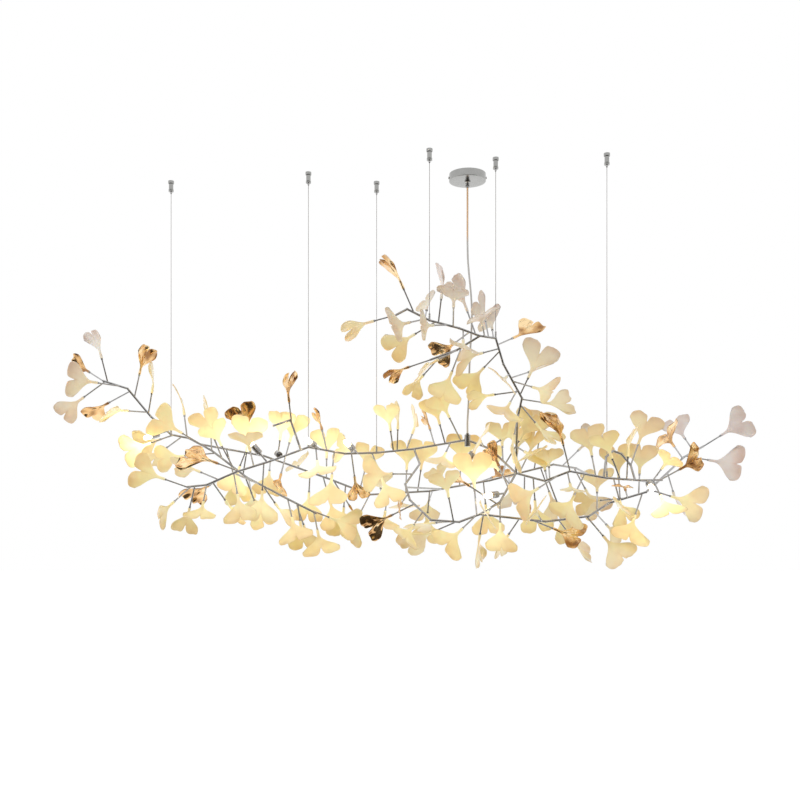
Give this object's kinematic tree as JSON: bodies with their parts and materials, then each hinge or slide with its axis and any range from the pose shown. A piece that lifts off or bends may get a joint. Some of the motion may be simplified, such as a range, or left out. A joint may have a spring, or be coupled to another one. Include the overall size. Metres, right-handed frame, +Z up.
{
  "type": "ceramic leaf chandelier",
  "caption": "Long chandelier of porcelain and gilt ginkgo leaves on thin chrome branches, hung from the ceiling on steel wires with a central power cord.",
  "frame": {"origin": "centre of the canopy at the ceiling plane, midway between its two screw slots", "axes": "+Z up, square to the ceiling; +X along the chandelier, to the viewer's right; +Y away from the viewer"},
  "size_m": [1.9225, 0.5507, 1.073],
  "materials": {
    "chrome": "polished",
    "steel": "satin",
    "steel_wire": "stranded",
    "porcelain": "thin translucent glaze",
    "gilt_porcelain": "mirror gold lustre",
    "bulb_glass": "clear",
    "cord_sheath": "clear plastic over tinned wire",
    "terminal_plastic": "moulded"
  },
  "bodies": {
    "ceiling_fixings": {"canopy_ceiling_plate": "steel", "canopy_cover": "chrome", "canopy_side_screws": "steel", "cord_gland": "chrome", "cord_gland_nut": "chrome", "terminal_block": "terminal_plastic", "gripper_ceiling_cups": "chrome", "gripper_barrels": "chrome", "gripper_jaws": "steel", "gripper_springs": "steel", "suspension_wires": "steel_wire", "power_cord": "cord_sheath"},
    "frame": {"wire_ferrules": "steel", "wiring_hub": "chrome", "hub_cord_clamp": "chrome", "rod_left_arm": "chrome", "rod_middle_beam": "chrome", "rod_left_spur": "chrome", "rod_right_beam": "chrome", "rod_right_loop": "chrome", "rod_right_arm": "chrome", "rod_front_loop": "chrome", "rod_lower_beam": "chrome", "rod_top_spray": "chrome", "rod_spray_drop": "chrome", "rod_back_beam": "chrome", "tie_rods": "chrome", "stems_left": "chrome", "stems_middle": "chrome", "stems_centre": "chrome", "stems_right": "chrome", "stems_lower": "chrome", "stems_top": "chrome", "stems_back": "chrome", "leaves_left": "porcelain", "leaves_middle": "porcelain", "leaves_centre": "porcelain", "leaves_right": "porcelain", "leaves_lower": "porcelain", "leaves_top": "porcelain", "leaves_back": "porcelain", "gold_leaves_left": "gilt_porcelain", "gold_leaves_centre": "gilt_porcelain", "gold_leaves_right": "gilt_porcelain", "gold_leaves_top": "gilt_porcelain", "lamp_stems": "chrome", "lamp_holders": "chrome", "bulbs": "bulb_glass"},
    "plunger_body_1": {"plunger_1": "chrome"},
    "plunger_body_2": {"plunger_2": "chrome"},
    "plunger_body_3": {"plunger_3": "chrome"},
    "plunger_body_4": {"plunger_4": "chrome"},
    "plunger_body_5": {"plunger_5": "chrome"},
    "plunger_body_6": {"plunger_6": "chrome"}
  },
  "joints": [
    {"name": "height_adjust", "type": "slide", "parent": "ceiling_fixings", "child": "frame", "axis": [0, 0, 1], "range_m": [0, 0.15], "deforming": ["suspension_wires", "power_cord"]},
    {"name": "release_1", "type": "slide", "parent": "ceiling_fixings", "child": "plunger_body_1", "axis": [0, 0, 1], "range_m": [0, 0.002], "stiffness_N_per_m": 150, "springref_m": -0.001},
    {"name": "release_2", "type": "slide", "parent": "ceiling_fixings", "child": "plunger_body_2", "axis": [0, 0, 1], "range_m": [0, 0.002], "stiffness_N_per_m": 150, "springref_m": -0.001},
    {"name": "release_3", "type": "slide", "parent": "ceiling_fixings", "child": "plunger_body_3", "axis": [0, 0, 1], "range_m": [0, 0.002], "stiffness_N_per_m": 150, "springref_m": -0.001},
    {"name": "release_4", "type": "slide", "parent": "ceiling_fixings", "child": "plunger_body_4", "axis": [0, 0, 1], "range_m": [0, 0.002], "stiffness_N_per_m": 150, "springref_m": -0.001},
    {"name": "release_5", "type": "slide", "parent": "ceiling_fixings", "child": "plunger_body_5", "axis": [0, 0, 1], "range_m": [0, 0.002], "stiffness_N_per_m": 150, "springref_m": -0.001},
    {"name": "release_6", "type": "slide", "parent": "ceiling_fixings", "child": "plunger_body_6", "axis": [0, 0, 1], "range_m": [0, 0.002], "stiffness_N_per_m": 150, "springref_m": -0.001}
  ]
}
